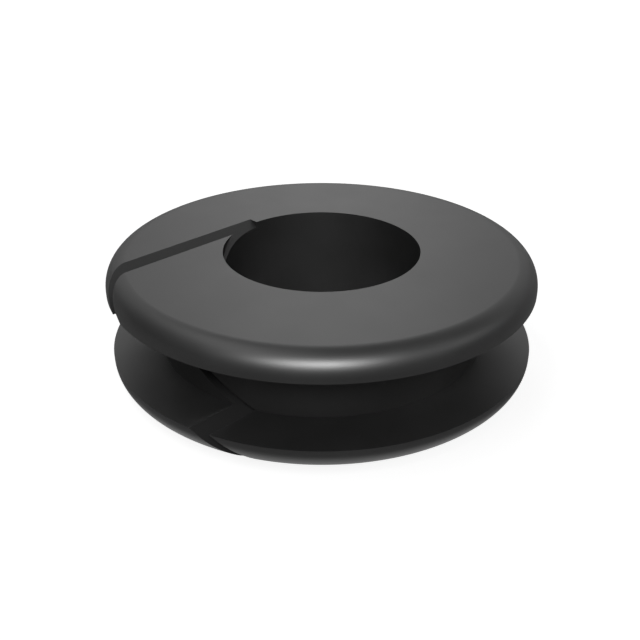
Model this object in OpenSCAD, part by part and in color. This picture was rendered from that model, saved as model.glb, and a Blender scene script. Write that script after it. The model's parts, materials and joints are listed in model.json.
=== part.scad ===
// Split rubber grommet: a moulded ring that snaps into a round hole in a
// panel and lines it for a cable. A slanted slit through one side lets the
// ring be sprung open and slipped over a cable that is already in place.
//
// Units are millimetres. The bore runs along Z, z = 0 is the middle of the
// panel groove, and the slit opens towards -Y.

/* [Ring] */
// Diameter of the bore that the cable passes through
bore_d = 9.525; // [5:0.005:12]
// Diameter of the groove floor, which is the size of the panel hole
groove_d = 15.875; // [13.5:0.005:18]
// Diameter over the two flanges
flange_d = 20.638; // [19:0.001:26]
// Thickness over the two outer faces
thickness = 5.556; // [5.45:0.001:8]
// Width of the groove, which is the thickness of the panel
groove_w = 3.175; // [1:0.005:3.3]
// Radius round the outer edge of each flange
edge_r = 1; // [0.2:0.05:1]

/* [Slit] */
// Gap between the walls of the slit, measured square to them
slit_w = 0.48; // [0.2:0.02:0.8]
// Lean of the slit away from the bore's axis, in degrees
slit_lean = 60; // [0:1:60]

/* [Hidden] */
$fn = 180;

bore_r = bore_d / 2;
groove_r = groove_d / 2;
flange_r = flange_d / 2;
flange_t = (thickness - groove_w) / 2;
slit_run = 2 * flange_d; // longer than the slit's slope through the ring
slit_reach = flange_r + 1; // from the axis to clear of the flange
rubber_black = [0.12, 0.12, 0.125];

// Half section of one flange: a flat outer face, a quarter-round outer edge
// with a short land below it, and an inner face square to the groove floor.
module flange_section() {
  round_x = flange_r - edge_r;
  land = flange_t - edge_r;
  translate([bore_r, 0]) square([round_x - bore_r, flange_t]);
  translate([round_x, 0]) square([edge_r, land]);
  translate([round_x, land]) intersection() {
    circle(r = edge_r);
    square(edge_r);
  }
}

// Half section of the neck that joins the flanges, with the groove floor
// outside and the bore wall inside.
module neck_section() {
  translate([bore_r, -groove_w / 2]) square([groove_r - bore_r, groove_w]);
}

// The ring as it leaves the mould, before it is slit.
module moulded_ring() {
  rotate_extrude() {
    translate([0, groove_w / 2]) flange_section();
    mirror([0, 1]) translate([0, groove_w / 2]) flange_section();
    neck_section();
  }
}

// The slanted cut. It starts on the plane through the bore's axis and runs
// out through the neck and both flanges. It crosses each face to one side of
// the bore, so a straight cable can't drop out through it.
module slit() {
  rotate([0, 90 - slit_lean, 0])
    translate([-slit_run / 2, -slit_reach, -slit_w / 2])
      cube([slit_run, slit_reach, slit_w]);
}

module grommet() {
  color(rubber_black) difference() {
    moulded_ring();
    slit();
  }
}

grommet();
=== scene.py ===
# %% [markdown]
# # A split rubber grommet
#
# A grommet is a rubber ring that snaps into a round hole in a panel, so that a
# cable can pass through without chafing on the metal. This one also has a slit
# that slants through its side: the ring is sprung open there, slipped over a
# cable that is already in place, and then pushed into its panel.
#
# The real one is a single moulding of black rubber, so this lesson makes one
# piece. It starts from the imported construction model, which fixes every size.

# %% Load the frame
import json
import math

import bpy
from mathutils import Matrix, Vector


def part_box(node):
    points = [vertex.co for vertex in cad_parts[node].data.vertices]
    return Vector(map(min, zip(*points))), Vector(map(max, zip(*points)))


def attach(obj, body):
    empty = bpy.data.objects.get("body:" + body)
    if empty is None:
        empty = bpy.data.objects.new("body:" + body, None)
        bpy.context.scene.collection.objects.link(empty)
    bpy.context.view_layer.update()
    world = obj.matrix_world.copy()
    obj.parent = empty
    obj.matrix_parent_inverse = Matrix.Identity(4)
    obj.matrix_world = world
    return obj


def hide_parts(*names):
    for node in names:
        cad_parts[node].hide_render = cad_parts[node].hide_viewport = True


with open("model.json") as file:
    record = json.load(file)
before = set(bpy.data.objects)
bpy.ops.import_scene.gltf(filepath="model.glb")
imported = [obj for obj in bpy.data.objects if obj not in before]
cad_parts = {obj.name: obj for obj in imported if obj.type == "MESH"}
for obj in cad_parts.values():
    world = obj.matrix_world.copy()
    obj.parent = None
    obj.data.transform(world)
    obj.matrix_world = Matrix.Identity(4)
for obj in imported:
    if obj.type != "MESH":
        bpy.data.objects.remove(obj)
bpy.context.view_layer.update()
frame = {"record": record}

MM = 0.001

# %% [markdown]
# ## The sizes
#
# Sizes could all be typed in here, but then they could drift from the construction.
# So the outer sizes come from its box. The bore, and the groove that the panel's
# edge sits in, come from the mounts in its record. The record says nothing of the
# rounded edges and the slit, and only those three sizes are repeated. Columns is
# how finely the ring is divided round the bore, and arcs is the same for each
# rounded edge.

# %% Read the sizes from the frame
low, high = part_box("grommet")
mounts = {mount["name"]: mount for mount in frame["record"]["mounts"]}

flange_r = high.x
thickness = high.z - low.z
bore_r = mounts["bore"]["dims"]["r_mm"] * MM
groove_r = mounts["panel_groove"]["dims"]["r_mm"] * MM
groove_w = mounts["panel_groove"]["dims"]["length_mm"] * MM

edge_r = 1.0 * MM
slit_w = 0.48 * MM
slit_lean = math.radians(60)
columns, arcs = 360, 24

print(f"bore {2 * bore_r / MM:.3f}, groove {2 * groove_r / MM:.3f} by {groove_w / MM:.3f},"
      f" flanges {2 * flange_r / MM:.3f}, thickness {thickness / MM:.3f} mm")

# %% [markdown]
# ## The rule behind the shape
#
# The mould is turned on a lathe, so the ring is one section carried once round
# the bore. It could be drawn with mesh tools, but the shape is a rule, and a
# node tree states the rule: the section's corners, their rounding, the turn,
# and the slit. The tree's inputs are the ring's own sizes, so another size of
# grommet needs no new modelling.

# %% Start the node tree and its inputs
ring_tree = bpy.data.node_groups.new("slit ring", "GeometryNodeTree")
ring_tree.interface.new_socket("Ring", in_out="OUTPUT", socket_type="NodeSocketGeometry")
sizes = {
    "Bore radius": bore_r,
    "Groove radius": groove_r,
    "Flange radius": flange_r,
    "Thickness": thickness,
    "Groove width": groove_w,
    "Edge radius": edge_r,
    "Slit width": slit_w,
    "Slit lean": slit_lean,
}
input_kinds = {
    **dict.fromkeys(sizes, "NodeSocketFloat"),
    "Columns": "NodeSocketInt",
    "Arcs": "NodeSocketInt",
    "Rubber": "NodeSocketMaterial",
}
ring_inputs = {
    name: ring_tree.interface.new_socket(name, in_out="INPUT", socket_type=kind)
    for name, kind in input_kinds.items()
}
given = ring_tree.nodes.new("NodeGroupInput").outputs
print("inputs of the ring:", ", ".join(ring_inputs))

# %% [markdown]
# ## Helpers for wiring nodes
#
# The shape, the finishes and the light below are all trees of nodes. Written out in
# full, most lines would only say which plug goes where. These helpers leave the
# part that matters: what a node is, and what goes into it.

# %% Define the wiring helpers
def connect(tree, value, socket):
    """Plugs an output into a socket, or sets the socket to a plain value."""
    if isinstance(value, bpy.types.NodeSocket):
        tree.links.new(value, socket)
    else:
        socket.default_value = value


def node(tree, kind, settings=None, **sockets):
    """Adds a node, sets its properties, and fills the inputs given by name."""
    made = tree.nodes.new(kind)
    for name, value in (settings or {}).items():
        setattr(made, name, value)
    for name, value in sockets.items():
        connect(tree, value, made.inputs[name.replace("_", " ")])
    return made


def maths(tree, operation, first, second=0.0):
    """Works on two numbers."""
    made = node(tree, "ShaderNodeMath", {"operation": operation})
    connect(tree, first, made.inputs[0])
    connect(tree, second, made.inputs[1])
    return made.outputs[0]


print("helpers: connect, node and maths")

# %% [markdown]
# ## The section's corners
#
# Eight corners describe the rubber on one side of the bore. Going round from the
# lower end of the bore: the lower flange's outer edge, its inner lip, the two
# corners of the groove's floor, the upper lip, the upper outer edge and the upper
# end of the bore. The mould rounds the two outer edges, so that the ring squeezes
# into its hole. The other corners are crisp. Their places could be typed in, but
# here they are worked out from the tree's inputs, and move when a size does.

# %% List the corners
half_thick = maths(ring_tree, "MULTIPLY", given["Thickness"], 0.5)
half_groove = maths(ring_tree, "MULTIPLY", given["Groove width"], 0.5)
under_thick = maths(ring_tree, "MULTIPLY", half_thick, -1.0)
under_groove = maths(ring_tree, "MULTIPLY", half_groove, -1.0)
corners = [  # distance from the axis, height, and whether the mould rounds it
    ("Bore radius", under_thick, False),
    ("Flange radius", under_thick, True),
    ("Flange radius", under_groove, False),
    ("Groove radius", under_groove, False),
    ("Groove radius", half_groove, False),
    ("Flange radius", half_groove, False),
    ("Flange radius", half_thick, True),
    ("Bore radius", half_thick, False),
]
places = []
for radius, height, _ in corners:
    # The turn's own circle has the flange's radius, so places count from it.
    inward = maths(ring_tree, "SUBTRACT", given[radius], given["Flange radius"])
    places.append(node(ring_tree, "ShaderNodeCombineXYZ", X=inward, Y=height).outputs[0])
print(len(corners), "corners,", sum(rounded for *_, rounded in corners), "of them rounded")

# %% [markdown]
# ## The section
#
# The outline could be a list of points with the arcs worked out beforehand, but
# then the radius would be frozen. Here one short row of points becomes the
# outline: each point looks up its own place and its own rounding by its number,
# and Fillet Curve draws the arcs. A crisp corner is a fillet with no radius, whose
# two points are welded after the turn.

# %% Draw the section
def by_number(kind, values):
    """Gives each point of the row the value that stands at its own number."""
    choose = node(ring_tree, "GeometryNodeIndexSwitch", {"data_type": kind})
    while len(choose.index_switch_items) < len(values):
        choose.index_switch_items.new()
    number = ring_tree.nodes.new("GeometryNodeInputIndex")
    for socket, value in zip(choose.inputs, [number.outputs[0], *values]):
        connect(ring_tree, value, socket)
    return choose.outputs[0]


rounding = [given["Edge radius"] if rounded else 0.0 for *_, rounded in corners]
arc_steps = [given["Arcs"] if rounded else 1 for *_, rounded in corners]

row = node(ring_tree, "GeometryNodeMeshLine", Count=len(corners))
line = node(ring_tree, "GeometryNodeMeshToCurve", Mesh=row.outputs[0])
placed = node(ring_tree, "GeometryNodeSetPosition", Geometry=line.outputs[0],
              Position=by_number("VECTOR", places))
outline = node(ring_tree, "GeometryNodeSetSplineCyclic", Geometry=placed.outputs[0], Cyclic=True)
section = node(ring_tree, "GeometryNodeFilletCurve", {"mode": "POLY"}, Curve=outline.outputs[0],
               Radius=by_number("FLOAT", rounding), Count=by_number("INT", arc_steps))
print("nodes so far:", len(ring_tree.nodes))

# %% [markdown]
# ## One turn
#
# A Screw modifier or the Spin tool could turn the section. Curve to Mesh does it
# inside the tree: it carries the section round a circle, as a lathe does.

# %% Turn the section
WELD = 0.002 * MM
circle = node(ring_tree, "GeometryNodeCurvePrimitiveCircle",
              Resolution=given["Columns"], Radius=given["Flange radius"])
turned = node(ring_tree, "GeometryNodeCurveToMesh",
              Curve=circle.outputs[0], Profile_Curve=section.outputs[0])
ring = node(ring_tree, "GeometryNodeMergeByDistance", Geometry=turned.outputs[0], Distance=WELD)
print("points closer than", WELD / MM, "mm are welded")

# %% [markdown]
# ## The slit
#
# A turn that stops short of a full circle would leave a gap too, but an upright
# one, and a straight slit would let the cable fall out again. The real slit is a
# cut, so a boolean with a thin slab makes it here. The slab starts on the plane
# through the bore's axis and runs out past the flange, and it leans well over, so
# that it crosses the top of the ring on one side of the bore and the bottom on the
# other. Its faces carry a mark, which the cut leaves on the slit's walls, because
# they get a finish of their own.

# %% Cut the slit
SLAB_RUN, SLAB_REACH = 4.0, 1.2  # in flange radii: along the slope, and out from the axis
run = maths(ring_tree, "MULTIPLY", given["Flange radius"], SLAB_RUN)
reach = maths(ring_tree, "MULTIPLY", given["Flange radius"], SLAB_REACH)
slab_size = node(ring_tree, "ShaderNodeCombineXYZ", X=run, Y=reach, Z=given["Slit width"])
outward = node(ring_tree, "ShaderNodeCombineXYZ", Y=maths(ring_tree, "MULTIPLY", reach, -0.5))
from_level = maths(ring_tree, "SUBTRACT", math.pi / 2, given["Slit lean"])
tilt = node(ring_tree, "ShaderNodeCombineXYZ", Y=from_level)

slab = node(ring_tree, "GeometryNodeMeshCube", Size=slab_size.outputs[0])
moved = node(ring_tree, "GeometryNodeTransform", Geometry=slab.outputs[0],
             Translation=outward.outputs[0])
leaning = node(ring_tree, "GeometryNodeTransform", Geometry=moved.outputs[0],
               Rotation=tilt.outputs[0])


def mark_faces(geometry, value):
    """Stores the mark 'slit wall' on every face: 1 on the slab, 0 on the ring."""
    made = node(ring_tree, "GeometryNodeStoreNamedAttribute",
                {"data_type": "FLOAT", "domain": "FACE"},
                Geometry=geometry, Name="slit_wall", Value=value)
    return made.outputs[0]


slit = node(ring_tree, "GeometryNodeMeshBoolean", {"operation": "DIFFERENCE", "solver": "EXACT"},
            Mesh_1=mark_faces(ring.outputs[0], 0.0), Mesh_2=mark_faces(leaning.outputs[0], 1.0))
print(f"slit: {slit_w / MM} mm wide, leaning {math.degrees(slit_lean):.0f} degrees")

# %% [markdown]
# ## Shading and the last nodes
#
# Round surfaces are shaded smooth and real corners stay hard. Edges could be
# marked sharp by hand, but the tree can measure them: one that turns by more than
# 25 degrees is a corner. Realize Instances and Set Material end the tree, so that
# what leaves it is plain geometry in rubber.

# %% Finish the node tree
HARD_CORNER = math.radians(25)
welded = node(ring_tree, "GeometryNodeMergeByDistance", Geometry=slit.outputs[0], Distance=WELD)
edge_turn = ring_tree.nodes.new("GeometryNodeInputMeshEdgeAngle")
soft_edge = maths(ring_tree, "LESS_THAN", edge_turn.outputs["Unsigned Angle"], HARD_CORNER)
smooth = node(ring_tree, "GeometryNodeSetShadeSmooth", {"domain": "FACE"},
              Geometry=welded.outputs[0], Shade_Smooth=True)
creased = node(ring_tree, "GeometryNodeSetShadeSmooth", {"domain": "EDGE"},
               Geometry=smooth.outputs[0], Shade_Smooth=soft_edge)
realized = node(ring_tree, "GeometryNodeRealizeInstances", Geometry=creased.outputs[0])
coated = node(ring_tree, "GeometryNodeSetMaterial", Geometry=realized.outputs[0],
              Material=given["Rubber"])
node(ring_tree, "NodeGroupOutput", Ring=coated.outputs[0])
print("node tree:", len(ring_tree.nodes), "nodes")

# %% [markdown]
# ## The rubber
#
# Carbon black makes the rubber nearly black. It also bends light more than plain
# rubber does, which lifts the index of refraction above the usual 1.5. The
# steel mould leaves a satin gloss. An image would hold all that at one size only,
# so noise in Object coordinates gives it here, at real sizes in metres: a slow
# pattern shifts the colour and the gloss a little, as the compound does.

# %% Make the rubber
rubber = bpy.data.materials.new("moulded_rubber")
rubber.use_nodes = True
shader_tree = rubber.node_tree
skin = shader_tree.nodes["Principled BSDF"]
where = shader_tree.nodes.new("ShaderNodeTexCoord").outputs["Object"]

SLOW = 2.5 * MM
DEEP_BLACK, SOFT_BLACK = (0.0054, 0.0054, 0.0054, 1), (0.0066, 0.0066, 0.0066, 1)
GLOSSIEST, DULLEST = 0.426, 0.446
RUBBER_IOR = 1.72
NOISE_LOW, NOISE_HIGH = 0.35, 0.65  # most of a noise lies between these


def noise(size, detail=2.0, vector=where):
    """Noise whose lumps are about size metres across."""
    made = node(shader_tree, "ShaderNodeTexNoise", Scale=1 / size, Detail=detail, Vector=vector)
    return made.outputs["Fac"]


def spread(value, low_end, high_end):
    """Stretches the middle of a noise to run from low_end to high_end."""
    made = node(shader_tree, "ShaderNodeMapRange", Value=value, From_Min=NOISE_LOW,
                From_Max=NOISE_HIGH, To_Min=low_end, To_Max=high_end)
    return made.outputs["Result"]


slow = noise(SLOW, detail=3.0)
colour = node(shader_tree, "ShaderNodeMix", {"data_type": "RGBA"},
              Factor=spread(slow, 0, 1), A=DEEP_BLACK, B=SOFT_BLACK)
connect(shader_tree, colour.outputs["Result"], skin.inputs["Base Color"])
moulded_rough = spread(slow, GLOSSIEST, DULLEST)
skin.inputs["IOR"].default_value = RUBBER_IOR
print("rubber:", GLOSSIEST, "to", DULLEST, "rough")

# %% [markdown]
# ## The grain and the cut marks
#
# Two more patterns are relief, too fine to be worth any geometry. The middling one
# is the slight waviness that shrinkage leaves, and the finest is the grain of the
# mould. The slit's walls were cut and not moulded. A sharp blade leaves them a
# little smoother, and in place of the grain they show faint lines along its
# travel: the same noise, drawn out along Y.

# %% Give the rubber its relief
WAVE, GRAIN, CUT = 1.1 * MM, 0.09 * MM, 0.05 * MM
WAVE_HEIGHT, GRAIN_HEIGHT, CUT_HEIGHT = 0.0004 * MM, 0.0012 * MM, 0.002 * MM
CUT_LONGER = 30  # times as long as wide, along the blade's travel
CUT_ROUGH = 0.39

wall_mark = node(shader_tree, "ShaderNodeAttribute", {"attribute_name": "slit_wall"})
on_wall = wall_mark.outputs["Fac"]
drawn_out = node(shader_tree, "ShaderNodeMapping", {"vector_type": "TEXTURE"},
                 Vector=where, Scale=(1, CUT_LONGER, 1))


def add_relief(height, depth, **under):
    """Raises the surface by up to depth where height is 1, over what is under it."""
    made = node(shader_tree, "ShaderNodeBump", Distance=1.0,
                Height=maths(shader_tree, "MULTIPLY", height, depth), **under)
    return made.outputs["Normal"]


moulded = maths(shader_tree, "SUBTRACT", 1.0, on_wall)
grain = maths(shader_tree, "MULTIPLY", noise(GRAIN), moulded)
cut_lines = maths(shader_tree, "MULTIPLY", noise(CUT, vector=drawn_out.outputs[0]), on_wall)
waves = add_relief(noise(WAVE), WAVE_HEIGHT)
grained = add_relief(grain, GRAIN_HEIGHT, Normal=waves)
relief = add_relief(cut_lines, CUT_HEIGHT, Normal=grained)
connect(shader_tree, relief, skin.inputs["Normal"])

roughness = node(shader_tree, "ShaderNodeMix", Factor=on_wall, A=moulded_rough, B=CUT_ROUGH)
connect(shader_tree, roughness.outputs["Result"], skin.inputs["Roughness"])
print(f"relief: waves of {WAVE / MM} mm, grain of {GRAIN / MM} mm; cut walls {CUT_ROUGH} rough")

# %% [markdown]
# ## Run the tree
#
# The modifier could stay live on the ring, but other programs can't run it. So its
# inputs are set, by their identifiers, before anything asks for the result, the
# result is copied to a plain mesh, and the modifier goes with the object that
# carried it. Weighted normals keep the flat faces flat right up to their rounded
# edges, so that a reflection runs true across them.

# %% Make the grommet
carrier = bpy.data.objects.new("carrier", bpy.data.meshes.new("carrier"))
bpy.context.scene.collection.objects.link(carrier)
turning = carrier.modifiers.new("Turn and slit", "NODES")
turning.node_group = ring_tree
for name, value in {**sizes, "Columns": columns, "Arcs": arcs, "Rubber": rubber}.items():
    turning[ring_inputs[name].identifier] = value

graph = bpy.context.evaluated_depsgraph_get()
ring_mesh = bpy.data.meshes.new_from_object(carrier.evaluated_get(graph))
bpy.data.objects.remove(carrier)
ring_mesh.name = "grommet_rubber"
grommet = bpy.data.objects.new("grommet_rubber", ring_mesh)
bpy.context.scene.collection.objects.link(grommet)
weighted = grommet.modifiers.new("True reflections", "WEIGHTED_NORMAL")
weighted.keep_sharp = True
print("grommet:", len(ring_mesh.vertices), "points")

# %% [markdown]
# ## Measure the ring and give it its place
#
# A render can't show a small hole in a mesh, but counting can: every edge of a
# closed solid has exactly two faces. The volume is a second test, because the
# construction model holds 976.3 cubic millimetres. The finished ring then takes
# the construction model's place, on the one body of the part.

# %% Measure the ring
import bmesh

shell = bmesh.new()
shell.from_mesh(ring_mesh)
open_edges = sum(not edge.is_manifold for edge in shell.edges)
triangles = sum(len(face.verts) - 2 for face in shell.faces)
print(f"grommet: {triangles} triangles, {open_edges} open edges,"
      f" {shell.calc_volume() / MM ** 3:.1f} mm3 of rubber")
shell.free()

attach(grommet, "root")
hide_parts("grommet")

# %% [markdown]
# ## The camera
#
# The camera looks a little down on the ring, from between its front and its right
# side, so that the top, the bore, the groove and both ends of the slit show. It is
# close, about two ring diameters away, because the ring is small, and so its clip
# start has to be close too. The studio is built round this same direction.

# %% Place the camera
VIEW_AZIMUTH, VIEW_ELEVATION = math.radians(45), math.radians(27)
VIEW_DISTANCE = 4.058 * flange_r
AIM_DOWN, AIM_LEFT = math.radians(28.425), math.radians(0.118)
LENS = 47.12
NEAREST, FARTHEST = 1 * MM, 10.0


def direction(azimuth, elevation):
    """Unit vector. Azimuth turns from the front (-Y) to the right (+X), in radians."""
    level = Vector((math.sin(azimuth), -math.cos(azimuth), 0))
    return math.cos(elevation) * level + Vector((0, 0, math.sin(elevation)))


camera_data = bpy.data.cameras.new("camera")
camera_data.lens = LENS
camera_data.clip_start, camera_data.clip_end = NEAREST, FARTHEST
camera = bpy.data.objects.new("camera", camera_data)
bpy.context.scene.collection.objects.link(camera)
camera.location = VIEW_DISTANCE * direction(VIEW_AZIMUTH, VIEW_ELEVATION)
camera.rotation_euler = (math.pi / 2 - AIM_DOWN, 0, VIEW_AZIMUTH + AIM_LEFT)
bpy.context.scene.camera = camera
bpy.context.scene.view_settings.view_transform = "Standard"
print(f"camera: {VIEW_DISTANCE / MM:.1f} mm away, lens {LENS} mm")

# %% [markdown]
# ## The white backdrop
#
# A black part shows its shape best on white. Lighting a table until it turns white
# would wash out the ring, so the whiteness is given to what looks at it: a ray
# from the camera finds white wherever it leaves the ring. A ray that bounced off
# gloss, or went through glass, finds the same white on the far side of the
# ring, where a studio's backdrop stands. On the camera's own side the room is dim,
# and that is what keeps black rubber black.

# %% Say who sees white
BACKDROP = direction(VIEW_AZIMUTH + math.pi, 0)
LEVEL = (1, 1, 0)  # multiplied with a vector, takes its height out


def vector_maths(tree, operation, first, second=(0, 0, 0)):
    """Works on two vectors. A dot product and a length come out as numbers."""
    made = node(tree, "ShaderNodeVectorMath", {"operation": operation})
    connect(tree, first, made.inputs[0])
    connect(tree, second, made.inputs[1])
    return made.outputs["Value" if operation in ("DOT_PRODUCT", "LENGTH") else "Vector"]


def step(tree, value, start, end, low_end=0.0, high_end=1.0):
    """Rises smoothly from low_end at start to high_end at end."""
    made = node(tree, "ShaderNodeMapRange", {"interpolation_type": "SMOOTHSTEP"}, Value=value,
                From_Min=start, From_Max=end, To_Min=low_end, To_Max=high_end)
    return made.outputs["Result"]


def sees_white(tree, glows_for_gloss):
    """1 for camera rays, and for reflected or refracted ones where glows_for_gloss is 1."""
    ray = tree.nodes.new("ShaderNodeLightPath").outputs
    bounced = maths(tree, "MAXIMUM", ray["Is Glossy Ray"], ray["Is Transmission Ray"])
    finds_backdrop = maths(tree, "MULTIPLY", bounced, glows_for_gloss)
    return maths(tree, "MAXIMUM", ray["Is Camera Ray"], finds_backdrop)


print("the backdrop stands towards", [round(v, 2) for v in BACKDROP])

# %% [markdown]
# ## The table
#
# The ring lies on a wide pale table. It could be a thick slab with edges, but
# nothing of it shows except the top, so one square is enough. It only belongs to
# the studio.

# %% Lay the table
TABLE_SIDE = 4.0

half = TABLE_SIDE / 2
table_mesh = bpy.data.meshes.new("table")
table_mesh.from_pydata(
    [(-half, -half, low.z), (half, -half, low.z), (half, half, low.z), (-half, half, low.z)],
    [], [(0, 1, 2, 3)])
table = bpy.data.objects.new("table", table_mesh)
bpy.context.scene.collection.objects.link(table)
print(f"table: {TABLE_SIDE} m square, at {low.z / MM:.3f} mm")

# %% [markdown]
# ## The table's top
#
# The table's own colour is a light grey that sends a little light back up into the
# groove and takes the ring's soft shadow. The white is a faint glow on top of it:
# too weak near the ring to hide the shadow, and stronger far away, where the lamps
# no longer reach. Gloss finds that glow far behind the ring, as a part of the
# backdrop, and in a narrow strip round the rim, where it lightens the rounded
# lower edge, most of all in front.

# %% Give the table its top
TABLE_GREY = 0.6
NEAR_GLOW, FAR_GLOW = 0.87, 1.0
GLOW_RISES, GLOW_RISEN = 4.0, 20.0                        # in flange radii, from the axis
BACKDROP_STARTS, BACKDROP_WHITE = 105 * MM, 115 * MM      # distances behind the ring
STRIP_STARTS, STRIP_FADES, STRIP_ENDS = 0.85, 1.0, 1.08   # in flange radii, from the axis
STRIP_TURNS, STRIP_FRONT = 0.4, 0.85                      # the same, towards the camera
STRIP_SIDES, STRIP_GLOW = 0.3, 0.87

table_top = bpy.data.materials.new("pale_table_top")
table_top.use_nodes = True
table_mesh.materials.append(table_top)
top_tree = table_top.node_tree
pale = top_tree.nodes["Principled BSDF"]
pale.inputs["Base Color"].default_value = (TABLE_GREY, TABLE_GREY, TABLE_GREY, 1)
pale.inputs["Roughness"].default_value = 1.0
pale.inputs["Specular IOR Level"].default_value = 0.0
pale.inputs["Emission Color"].default_value = (1, 1, 1, 1)

on_table = top_tree.nodes.new("ShaderNodeTexCoord").outputs["Object"]
behind = vector_maths(top_tree, "DOT_PRODUCT", on_table, BACKDROP)
in_front = vector_maths(top_tree, "DOT_PRODUCT", on_table, -BACKDROP / flange_r)
distance = vector_maths(top_tree, "LENGTH", vector_maths(top_tree, "MULTIPLY", on_table, LEVEL))
from_axis = maths(top_tree, "DIVIDE", distance, flange_r)

far_side = step(top_tree, behind, BACKDROP_STARTS, BACKDROP_WHITE)
# The strip round the rim is a painted reflection: a glow that only gloss sees, which lightens the
# ring's lower edge, most of all in front.
outside = maths(top_tree, "GREATER_THAN", from_axis, STRIP_STARTS)
strip = step(top_tree, from_axis, STRIP_FADES, STRIP_ENDS, STRIP_GLOW, 0)
faced = step(top_tree, in_front, STRIP_TURNS, STRIP_FRONT, STRIP_SIDES, 1)
round_rim = maths(top_tree, "MULTIPLY", strip, outside)
by_rim = maths(top_tree, "MULTIPLY", round_rim, faced)
white = sees_white(top_tree, maths(top_tree, "MAXIMUM", far_side, by_rim))
open_glow = step(top_tree, from_axis, GLOW_RISES, GLOW_RISEN, NEAR_GLOW, FAR_GLOW)
connect(top_tree, maths(top_tree, "MULTIPLY", white, open_glow), pale.inputs["Emission Strength"])
print("table top:", TABLE_GREY, "grey, glowing at", NEAR_GLOW, "near the ring")

# %% [markdown]
# ## The room
#
# The world is a dim studio: dark at the height of the table, and brighter
# overhead, where a white ceiling takes light from the lamps. An image of a studio
# could light the ring too, but steps by angle can be set one at a time. The
# backdrop is a part of the room, a sheet of white paper straight behind the ring.
# Its light fades to the sides, to its foot on the table, and to its top.

# %% Light the room
ROOM, CEILING = 0.07, 0.175                                     # where 1 is white
ROOM_ENDS, CEILING_STARTS = math.radians(-1), math.radians(43)
PAPER_FULL, PAPER_EDGE = math.radians(8), math.radians(80)      # each way from straight behind
PAPER_FOOT, PAPER_RISEN = math.radians(0), math.radians(27)
PAPER_FADES, PAPER_TOP = math.radians(10.5), math.radians(66)

world = bpy.data.worlds.new("studio")
bpy.context.scene.world = world
world.use_nodes = True
room_tree = world.node_tree
looking = room_tree.nodes.new("ShaderNodeTexCoord").outputs["Generated"]
upward = node(room_tree, "ShaderNodeSeparateXYZ", Vector=looking).outputs["Z"]
looking_level = vector_maths(room_tree, "MULTIPLY", looking, LEVEL)
sideways = vector_maths(room_tree, "NORMALIZE", looking_level)
facing = vector_maths(room_tree, "DOT_PRODUCT", sideways, BACKDROP)

room_light = step(room_tree, upward, math.sin(ROOM_ENDS), math.sin(CEILING_STARTS), ROOM, CEILING)
across = step(room_tree, facing, math.cos(PAPER_EDGE), math.cos(PAPER_FULL))
above_foot = step(room_tree, upward, math.sin(PAPER_FOOT), math.sin(PAPER_RISEN))
below_top = step(room_tree, upward, math.sin(PAPER_FADES), math.sin(PAPER_TOP), 1, 0)
upright = maths(room_tree, "MULTIPLY", above_foot, below_top)
paper = maths(room_tree, "MULTIPLY", across, upright)

room = node(room_tree, "ShaderNodeMix", Factor=sees_white(room_tree, paper), A=room_light, B=1.0)
backlight = room_tree.nodes["Background"]
backlight.inputs["Color"].default_value = (1, 1, 1, 1)
connect(room_tree, room.outputs["Result"], backlight.inputs["Strength"])
print("room:", ROOM, "at the table,", CEILING, "overhead")

# %% [markdown]
# ## The lamps
#
# Four soft boxes make the shape readable. The key is in front and above, and
# draws the bright line along the rounded rim. A broad one on the left and a low
# strip on the right carry that line round the sides, and a tall one behind gives
# the flat top its sheen. Each could be placed by eye, but here each is placed by
# the angles at which the ring sees it, because those angles, and not its size,
# decide what a reflection looks like.

# %% Hang the soft boxes
LAMP_DISTANCE = 0.25
soft_boxes = {
    # name: degrees round from the camera, degrees up, degrees wide, degrees tall, brightness
    "key": (-1.8, 40.1, 29.6, 16.3, 33),
    "left": (-92, 64.5, 56, 30, 1.36),
    "right": (77, 30, 37, 11.5, 1.92),
    "rear": (180, 35, 21.5, 30, 1.28),
}


def soft_box(name, azimuth, elevation, wide, tall, brightness):
    """A soft box that spans wide by tall degrees as seen from the ring."""
    lamp_data = bpy.data.lights.new(name, "AREA")
    lamp_data.shape = "ELLIPSE"
    lamp_data.size = 2 * LAMP_DISTANCE * math.tan(math.radians(wide) / 2)
    lamp_data.size_y = 2 * LAMP_DISTANCE * math.tan(math.radians(tall) / 2)
    lit_area = math.pi / 4 * lamp_data.size * lamp_data.size_y
    lamp_data.energy = brightness * math.pi * lit_area
    lamp = bpy.data.objects.new(name, lamp_data)
    bpy.context.scene.collection.objects.link(lamp)
    place = direction(VIEW_AZIMUTH + math.radians(azimuth), math.radians(elevation))
    lamp.location = LAMP_DISTANCE * place
    lamp.rotation_euler = place.to_track_quat("Z", "Y").to_euler()
    lamp.visible_camera = False
    on_level = brightness * lit_area / LAMP_DISTANCE ** 2 * place.z / math.pi
    print(f"{name}: lights a level surface to {on_level:.2f} of white")
    return lamp


lamps = {name: soft_box(name, *setting) for name, setting in soft_boxes.items()}

# %% [markdown]
# ## What the key may light
#
# In a studio a black flag would keep the key off the table, so that the table next
# to the ring stays dim. Light linking does it here: the key lights one collection,
# and only the ring is in it.
#
# The key is small and bright, and its second and third bounces would fill the
# groove with glare. So its bounces are set to none, and its importance sampling is
# off as well, because rays that strike the lamp by chance would bring the glare
# back.

# %% Flag the key
lit_by_key = bpy.data.collections.new("lit by the key")
lit_by_key.objects.link(grommet)
lamps["key"].light_linking.receiver_collection = lit_by_key
lamps["key"].data.cycles.max_bounces = 0
lamps["key"].data.cycles.use_multiple_importance_sampling = False
